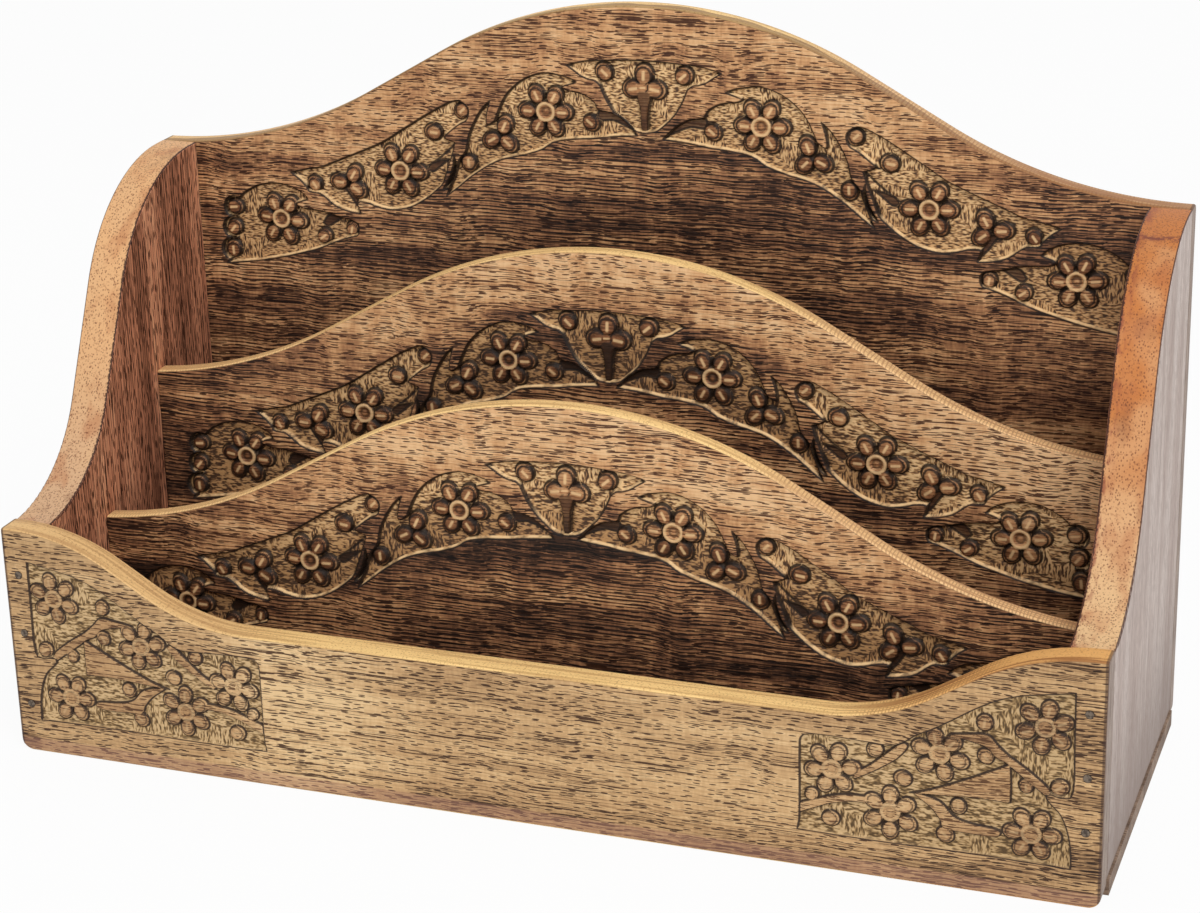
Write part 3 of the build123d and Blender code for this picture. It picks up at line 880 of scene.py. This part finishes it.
def grain(place, along, across, wave):
    """Slow bands, long dark lines, dark dashes and fine fibres of wood.

    The grain runs along one axis (0, 1 or 2), its lines are counted across another, and wave is how far, in
    millimetres, they swing.
    """

    def size(length, width):
        sizes = [width, width, width]
        sizes[along] = length
        return tuple(sizes)

    drift = times(minus(noise(place, size(18, 26), 1.0), 0.5), wave * MM)
    drifts = {axis: drift for axis in range(3) if axis != along}
    shift = node("ShaderNodeCombineXYZ", drifts)[0]
    place = node("ShaderNodeVectorMath", {0: place, 1: shift}, operation="ADD")[0]
    spot = parts(place)
    bands = noise(place, size(95, 6), 3.0, 0.55)

    count = times(spot[across], 2 * pi / LINE_GAP)
    phase = add(count, times(noise(place, size(40, 2.5)), 12.0))
    strength = ramp(noise(place, size(26, 1.1), 1.0, shift=13.0), 0.3, 0.52)
    lines = times(ramp(compute("SINE", phase), 0.1, 0.9), strength)

    long_dashes = noise(place, size(26, 0.33), 1.0, shift=3.0)
    cell_along = compute("DIVIDE", spot[along], DASH_CELL_LENGTH)
    cell_across = compute("DIVIDE", spot[across], DASH_CELL_WIDTH)
    cell = node("ShaderNodeCombineXYZ", {0: cell_along, 1: cell_across})[0]
    pores = node("ShaderNodeTexVoronoi", {"Vector": cell, "Scale": 1.0}, voronoi_dimensions="2D")
    short_dashes = ramp(pores["Distance"], 0.35, 0.03, 0.47, 0.7)
    dashes = larger(minus(long_dashes, 0.015), short_dashes)
    fibres = noise(place, size(14, 0.45), 2.0, 0.6, shift=7.0)
    return bands, lines, dashes, fibres


def wood_roughness(fibres):
    return ramp(fibres, 0.3, 0.7, 0.48, 0.62)


# Wood of the carved boards. In its look, wave is the swing of the grain, more_dashes adds to the dark dashes,
# and wood and ground are the colour stops of the plain wood and of the sunk ground. quiet, from 0 to 1, is
# how far the grain has no curl and the carving has less painted highlight and painted shade.

ARCHED_LOOK = SimpleNamespace(
    wave=3.2, more_dashes=0.018, quiet=0.0, dark_dash=(60, 38, 30), pale_dash=(76, 48, 40),
    line=(30, 19, 12), line_width=0.5, edge=(255, 214, 146),
    wood=[(0.0, (58, 37, 25)), (0.3, (136, 93, 65)), (0.5, (176, 126, 86)), (0.7, (212, 161, 112)),
          (1.0, (238, 195, 146))],
    ground=[(0.0, (76, 54, 38)), (0.35, (136, 100, 68)), (0.7, (192, 147, 98)), (1.0, (244, 204, 150))],
)
FRONT_LOOK = SimpleNamespace(
    wave=2.5, more_dashes=0.004, quiet=0.7, dark_dash=(68, 46, 42), pale_dash=(72, 50, 45),
    line=(44, 30, 24), line_width=0.36, edge=(255, 214, 144),
    wood=[(0.0, (118, 88, 60)), (0.4, (178, 140, 98)), (0.7, (209, 170, 122)), (1.0, (236, 201, 151))],
    ground=[(0.0, (90, 69, 43)), (0.4, (138, 109, 71)), (0.75, (178, 145, 100)), (1.0, (218, 185, 138))],
)


def board_marks(tree):
    """Places on a carved board, and what its points say about the carving, the tone and the edges."""
    place = object_place(tree)
    layers = ("carving", "tone", "edge")
    carving, tone, edge = (node("ShaderNodeAttribute", tree=tree, attribute_name=name) for name in layers)
    ground, pad, painted_light_and_wear = node("ShaderNodeSeparateColor", {0: carving["Color"]})
    x, y, z = parts(place)
    return SimpleNamespace(
        place=place, x=x, y=y, z=z, pad=pad, ground=ground, painted_light_and_wear=painted_light_and_wear, tone=tone["Fac"], edge=edge["Fac"],
        lower_wall=ramp(carving["Alpha"], 0.5, 0.85),
        inside=ramp(ground, 0.02, -0.3),
        on_pad=ramp(pad, 0.05, -0.15),
    )


def carved_wood(name, look):
    """Grain, hatched sunk ground, pads, dark outlines and pale sawn edges."""
    material, tree = new_material(name)
    marks = board_marks(tree)
    bands, lines, dashes, fibres = grain(marks.place, 0, 2, look.wave)
    darkness = ramp(marks.tone, 0.65, 0.35)
    more = look.more_dashes
    crowding = add(dashes, ramp(bands, 0.25, 0.75, more + 0.03, more - 0.03), times(darkness, 0.015))
    dash = ramp(crowding, 0.568, 0.605)
    plain = plain_wood(look, marks, (bands, lines, crowding, fibres), darkness)
    dash_colour = mix(ramp(marks.tone, 0.35, 0.65), look.dark_dash, look.pale_dash)
    wood = mix(times(dash, 0.94), plain, dash_colour, "MULTIPLY")
    pad_wood = mix(times(dash, 0.6 + 0.4 * look.quiet), plain, dash_colour, "MULTIPLY")

    strokes = chisel_strokes(marks.place)
    carved = mix(marks.on_pad, ground_colour(look, marks, strokes), pad_colour(look, marks, pad_wood))
    colour = mix(marks.inside, wood, carved)
    colour = with_pad_lines(look, marks, colour)
    colour = with_border(look, marks, colour)
    colour = with_edges(look, marks, colour)
    colour = with_ends(marks, colour)
    chips = times(strokes, marks.inside, minus(1.0, marks.on_pad))
    finish(colour, wood_roughness(fibres), minus(chips, times(dash, 0.3)), 0.5)
    return material


def plain_wood(look, marks, figure, darkness):
    """Wood between the dashes."""
    bands, lines, crowding, fibres = figure
    mottling = noise(marks.place, (0.9, 6, 3), 1.0, shift=4.0)
    curl = noise(marks.place, (5, 40, 14), 1.0, shift=8.0)
    value = add(
        marks.tone,
        times(sway(bands, 0.2), ramp(darkness, 0.0, 1.0, 0.8, 1.5)),
        sway(fibres, 0.08),
        ramp(crowding, 0.45, 0.565, -0.04, 0.08),
        sway(mottling, 0.06),
        sway(curl, 0.1 * (1 - look.quiet)),
    )
    dimming = times(lines, ramp(darkness, 0.0, 1.0, 0.15, 0.8))
    return colour_stops(minus(value, dimming), look.wood)


def chisel_strokes(place):
    """Level strokes, with patches of upright ones."""
    level = noise(place, (1.7, 1.7, 0.5), 1.0, shift=5.0)
    upright = noise(place, (0.5, 1.7, 1.7), 1.0, shift=9.0)
    patch = ramp(noise(place, (8, 8, 8), 0.0, shift=2.0), 0.55, 0.6)
    return node("ShaderNodeMix", {0: patch, 2: level, 3: upright})[0]


def ground_colour(look, marks, strokes):
    # The ground is darker where the tone is low, also where painted shade lies on the band.
    value = add(ramp(strokes, 0.3, 0.6), ramp(marks.tone, 0.05, 0.7, -0.45, 0.0))
    return colour_stops(value, look.ground)


def pad_colour(look, marks, pad_wood):
    """Brown pads, painted with highlights on ridges worn pale and with shade in cuts and hollows."""
    quiet = look.quiet
    # Painted highlight on ridges worn pale, and painted shade in cuts, deeper where the tone is low.
    rubbed_highlight = ramp(marks.painted_light_and_wear, 0.1, 0.8, 0.0, 0.75 - 0.5 * quiet)
    painted_shade_level = add(marks.painted_light_and_wear, ramp(marks.tone, 0.2, 0.45, -0.2, 0.0))
    shaded = ramp(painted_shade_level, -0.45 * quiet, -0.8, 0.0, 0.92 - 0.3 * quiet)
    colour = mix(0.36 - 0.3 * quiet, pad_wood, (150, 92, 52))
    colour = mix(rubbed_highlight, colour, look.ground[-1][1])
    return mix(shaded, colour, look.line)


def with_pad_lines(look, marks, colour):
    """Dark lines round the pads, fainter round the cut leaves that painted shade darkens."""
    outline = ramp(off(marks.pad, 0.02), look.line_width, 0.35 * look.line_width)
    at_leaf = ramp(marks.painted_light_and_wear, -0.15, -0.05)
    faded = larger(ramp(marks.painted_light_and_wear, -0.6, -0.28, 1.0, 0.6), at_leaf)
    return mix(times(outline, faded, marks.inside, 0.94), colour, look.line)


def with_border(look, marks, colour):
    """Dark border line of the sunk ground, wider as painted shade on walls facing down, and painted highlight
    on lower walls.
    """
    wall = marks.lower_wall
    # The dark line is wider on walls facing down: painted shade.
    half_width = ramp(wall, 0.0, 1.0, 1.1 * look.line_width, 0.6 * look.line_width)
    border = off(add(marks.ground, ramp(wall, 0.0, 1.0, 0.12, -0.12)))
    border = ramp(compute("DIVIDE", border, half_width), 1.0, 0.35)
    colour = mix(times(border, 0.92), colour, look.line)
    # Painted highlight along the lower walls, broken by noise.
    painted_wall_highlight = ramp(off(add(marks.ground, 0.34)), 0.34, 0.1, 0.0, 1 - look.quiet)
    broken = ramp(noise(marks.place, (3, 3, 3), 1.0, shift=3.0), 0.35, 0.6, 0.3, 1.0)
    return mix(times(painted_wall_highlight, broken, wall), colour, look.ground[-1][1])


def edge_wood(look, marks):
    """Sawn wood of the top edges: saw marks on the slopes, streaks along the edge, speckles."""
    x, place = marks.x, marks.place
    arched = compute("GREATER_THAN", marks.y, FRONT_EDGE_END * MM)
    on_front = minus(1.0, arched)
    flank = times(add(between(x, 40, 70), between(x, -70, -100, 0.0, 0.5)), arched)
    slope = times(between(x, 85, 95, 0.0, 0.7), on_front, between(x, 130, 120))
    unevenness = times(noise(place, (3, 12, 3), 1.0), 9.0)
    teeth = compute("SINE", add(times(x, 2 * pi / SAW_GAP), unevenness))
    sawn = times(ramp(teeth, 0.0, 0.8), larger(flank, slope))
    streaks = ramp(noise(place, (40, 1.1, 40), shift=12.0), 0.45, 0.6)
    streaks = times(streaks, between(x, 80, 110, 0.4, 0.85))

    amber = times(between(x, 80, 120, 0.0, 0.7), on_front)
    colour = mix(amber, look.edge, (222, 156, 84))
    tan = times(between(x, -65, -95, 0.0, 0.6), on_front)
    colour = mix(tan, colour, (220, 176, 124))
    colour = mix(larger(times(sawn, 0.7), streaks), colour, (150, 96, 52))
    speckle = spots(place, (0.6, 0.6, 0.6), 0.55, 0.68, 0.4, detail=1.0, shift=6.0)
    colour = mix(speckle, colour, (146, 92, 52))
    return mix(times(flank, 0.35), colour, (236, 186, 146))


def darkened_back_edge(marks, colour):
    """The back panel's top edge, darkened along its front and browned on its right."""
    depth = add(marks.y, sway(noise(marks.place, (14, 14, 14)), 0.9 * MM))
    rear = between(marks.x, 40, 120, 53.6 * MM, 52.2 * MM)
    front_darkening = times(between(depth, BACK_EDGE_START, BACK_EDGE_START + 0.6), compute("LESS_THAN", depth, rear))
    colour = mix(times(front_darkening, 0.6), colour, (96, 57, 32))
    on_back = compute("GREATER_THAN", marks.y, BACK_EDGE_START * MM)
    return mix(times(between(marks.x, 50, 120, 0.0, 0.65), on_back), colour, (152, 98, 54))


def with_edges(look, marks, colour):
    """Pinkish foot, sawn top edge and a dark line where that meets the face."""
    colour = mix(between(marks.z, 4.6, 3.6, 0.0, 0.42), colour, (168, 122, 104))
    colour = mix(marks.edge, colour, darkened_back_edge(marks, edge_wood(look, marks)))
    arris = ramp(off(marks.edge, 0.5), 0.5, 0.1, 0.0, 0.35)
    return mix(arris, colour, (88, 54, 32))


def with_ends(marks, colour):
    """End grain at the rack's sides with a painted grey-brown sheen like the side faces', and a dark line
    along each corner.
    """
    off_middle = off(marks.x)
    outermost = between(off_middle, HALF_WIDTH - 0.4, HALF_WIDTH - 0.1)
    end_grain = ramp(noise(marks.place, (3, 0.5, 9), shift=8.0), 0.4, 0.65)
    # Painted sheen: the end grain greyed like the side boards' outer faces.
    colour = mix(outermost, colour, mix(end_grain, (176, 156, 142), (128, 108, 96)))
    from_corner = off(off_middle, (HALF_WIDTH - 0.5) * MM)
    return mix(between(from_corner, 0.6, 0.2, 0.0, 0.7), colour, (66, 46, 40))


# Wood of the end boards: red-brown inner face, outer face painted pale grey-brown as a sheen, orange edges
# with dark pores


def side_wood():
    material, tree = new_material("side_wood")
    place = object_place(tree)
    x, y, z = parts(place)
    right = compute("GREATER_THAN", x, 0.0)
    bands, lines, dashes, fibres = grain(place, 2, 1, 1.2)
    dash = ramp(dashes, 0.545, 0.585)
    value = add(ramp(bands, 0.25, 0.75, 0.2, 0.8), sway(fibres, 0.15))
    value = minus(value, times(lines, 0.3))
    edge = side_edge(place, z, right)
    edge = with_side_stains(place, x, y, right, edge)
    edge = with_side_lines(place, x, edge)

    normal = parts(node("ShaderNodeNewGeometry", tree=tree)["True Normal"])
    outward = times(normal[0], compute("SIGN", x))
    colour = mix(ramp(outward, -0.5, -0.8), edge, inner_face(value, dash))
    colour = mix(ramp(outward, 0.5, 0.8), colour, outer_face(place, z, value, dash))
    arris = ramp(off(off(outward), 0.5), 0.4, 0.2)
    colour = mix(times(arris, 0.85), colour, (66, 36, 26))
    finish(colour, wood_roughness(fibres), fibres, 0.15)
    return material


def inner_face(value, dash):
    colour = colour_stops(value, [(0.0, (104, 62, 44)), (0.5, (206, 138, 104)), (1.0, (242, 182, 140))])
    return mix(times(dash, 0.94), colour, (72, 52, 48), "MULTIPLY")


def outer_face(place, z, value, dash):
    # Pale grey-brown: a painted sheen of the white surroundings over the brown wood.
    colour = colour_stops(value, [(0.0, (172, 150, 140)), (0.5, (204, 188, 179)), (1.0, (224, 212, 205))])
    colour = mix(times(dash, 0.55), colour, (138, 116, 106))
    hairs = spots(place, (0.35, 0.35, 9), 0.5, 0.68, 0.45, shift=11.0)
    colour = mix(hairs, colour, (150, 128, 118))
    # Painted shade, darker towards the foot.
    return mix(between(z, 60, 0, 0.0, 0.7), colour, (118, 98, 88))


def side_edge(place, z, right):
    """Pale and rusty patches, pits and pores over an edge that is paler at its foot."""
    high = mix(right, (232, 180, 128), (197, 122, 64))
    low = mix(right, (214, 174, 136), (230, 192, 144))
    colour = mix(between(z, 115, 60), high, low)
    colour = mix(spots(place, (16, 20, 20), 0.45, 0.65, 0.4), colour, (228, 182, 134))
    colour = mix(spots(place, (7, 12, 12), 0.5, 0.72, 0.5, shift=6.0), colour, (180, 108, 66))
    pits = spots(place, (0.7, 0.7, 0.7), 0.54, 0.68, 0.4, detail=1.0, shift=2.0)
    colour = mix(pits, colour, (140, 84, 54))
    cells = node("ShaderNodeMapping", {"Vector": place, "Scale": PORES_PER_METRE})[0]
    pores = node("ShaderNodeTexVoronoi", {"Vector": cells, "Scale": 1.0})["Distance"]
    return mix(ramp(pores, 0.36, 0.2, 0.0, 0.7), colour, (108, 58, 36))


def with_side_stains(place, x, y, right, colour):
    """Dark smears, and on the right board a stained line and red flecks along the inner side."""
    smear = spots(place, (10, 10, 22), 0.6, 0.74, 0.3, shift=4.0)
    colour = mix(smear, colour, (104, 56, 36))
    stain = times(between(off(y, STAIN_Y * MM), 1.8, 0.4), right)
    broken = ramp(noise(place, (1.2, 1.2, 1.2), shift=3.0), 0.35, 0.6)
    colour = mix(times(stain, broken, 0.8), colour, (110, 54, 50))
    inner_side = between(times(x, right), 144.8, 141.8)
    flecks = spots(place, (1.6, 5, 5), 0.42, 0.62, 0.7, shift=9.0)
    return mix(times(flecks, inner_side, right), colour, (142, 72, 54))


def with_side_lines(place, x, colour):
    """Ragged dark line along the inner side and a fainter one along the outer side."""
    off_middle = off(x)
    ragged = ramp(noise(place, (0.8, 0.8, 0.8), shift=5.0), 0.35, 0.6, 0.5 * MM, 0.9 * MM)
    from_inside = minus(off_middle, INNER_HALF_WIDTH * MM)
    inner_line = ramp(compute("DIVIDE", from_inside, ragged), 1.0, 0.6, 0.0, 0.9)
    colour = mix(inner_line, colour, (58, 32, 24))
    outer_line = between(off_middle, HALF_WIDTH - 0.55, HALF_WIDTH - 0.15, 0.0, 0.6)
    return mix(outer_line, colour, (92, 56, 46))


def bottom_wood():
    """Thin bottom board, plain grey-brown."""
    material, tree = new_material("bottom_wood")
    place = object_place(tree)
    bands, lines, dashes, fibres = grain(place, 0, 1, 3.0)
    value = minus(ramp(bands, 0.25, 0.75, 0.3, 0.9), times(lines, 0.3))
    colour = colour_stops(value, [(0.0, (92, 74, 62)), (0.5, (136, 112, 94)), (1.0, (172, 148, 128))])
    colour = mix(ramp(dashes, 0.54, 0.64, 0.0, 0.6), colour, (120, 100, 90), "MULTIPLY")
    finish(colour, 0.62, fibres, 0.2)
    return material


def brad_steel():
    """Dull steel of the brads, darkened in spots."""
    material, tree = new_material("brad_steel")
    place = object_place(tree)
    tarnish = ramp(noise(place, (0.8, 0.8, 0.8)), 0.4, 0.65)
    colour = mix(tarnish, (122, 108, 94), (80, 70, 62))
    finish(colour, ramp(tarnish, 0, 1, 0.5, 0.7), tarnish, 0.2, Metallic=0.4)
    return material


def dress(nodes, material):
    """Give CAD nodes a finished material."""
    for name in nodes:
        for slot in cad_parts[name].material_slots:
            slot.material = material


arched_material = carved_wood("arched_wood", ARCHED_LOOK)
for piece in (back_board, middle_board, low_board):
    piece.data.materials.append(arched_material)
front_piece.data.materials.append(carved_wood("front_wood", FRONT_LOOK))
dress(("left_side", "right_side"), side_wood())
dress(("bottom_panel",), bottom_wood())
dress(("front_panel_brads", "back_panel_brads", "bottom_panel_brads"), brad_steel())


# Studio, in metres and degrees

FLOOR_REACH = 3.0
SKY_STRENGTH = 0.55
LAMP_PLACE = (0.9, -1.2, 1.6)
LAMP_TARGET = (0, 0, 0.08)
LAMP_SIZE = 1.2
LAMP_POWER = 25
CAMERA_PLACE = (0.25025, -0.6687, 0.3558)
CAMERA_TURN = (70.443, 1.494, 19.732)
CAMERA_LENS = 83.93
CAMERA_SENSOR = 36
CAMERA_SHIFT = -0.0547


def seen_directly(tree):
    """1 for rays from the camera, from a mirror-like surface or through glass."""
    rays = node("ShaderNodeLightPath", tree=tree)
    return larger(larger(rays["Is Camera Ray"], rays["Is Glossy Ray"]), rays["Is Transmission Ray"])


def floor_white():
    """Matt floor that looks white where nothing shades it."""
    material, tree = new_material("floor_white")
    matt = node("ShaderNodeBsdfDiffuse", {"Color": (0.9, 0.9, 0.9, 1)}, tree)[0]
    glow = node("ShaderNodeEmission", {"Strength": 1.0}, tree)[0]
    share = times(seen_directly(tree), 0.93)
    surface = node("ShaderNodeMixShader", {0: share, 1: matt, 2: glow})[0]
    node("ShaderNodeOutputMaterial", {"Surface": surface})
    return material


def white_sky():
    """Even white surroundings that look white and light the rack with a strength of their own."""
    world = bpy.data.worlds.new("studio")
    world.use_nodes = True
    tree = world.node_tree
    tree.nodes.clear()
    level = ramp(seen_directly(tree), 0.0, 1.0, SKY_STRENGTH, 1.0)
    background = node("ShaderNodeBackground", {"Color": (1, 1, 1, 1), "Strength": level})[0]
    node("ShaderNodeOutputWorld", {"Surface": background})
    return world


floor_mesh = bpy.data.meshes.new("floor")
floor_corners = [(x * FLOOR_REACH, y * FLOOR_REACH, 0) for x, y in ((-1, -1), (1, -1), (1, 1), (-1, 1))]
floor_mesh.from_pydata(floor_corners, [], [(0, 1, 2, 3)])
floor = add_object("floor", floor_mesh)
floor_mesh.materials.append(floor_white())
bpy.context.scene.world = white_sky()

light = bpy.data.lights.new("key", "AREA")
light.size = LAMP_SIZE
light.energy = LAMP_POWER
lamp = add_object("key", light)
lamp.location = LAMP_PLACE
lamp.rotation_euler = (Vector(LAMP_TARGET) - Vector(LAMP_PLACE)).to_track_quat("-Z", "Y").to_euler()

camera_data = bpy.data.cameras.new("camera")
camera_data.lens = CAMERA_LENS
camera_data.sensor_width = CAMERA_SENSOR
camera_data.shift_y = CAMERA_SHIFT
camera = add_object("camera", camera_data)
camera.location = CAMERA_PLACE
camera.rotation_euler = [radians(turn) for turn in CAMERA_TURN]
bpy.context.scene.camera = camera
bpy.context.scene.view_settings.view_transform = "Standard"
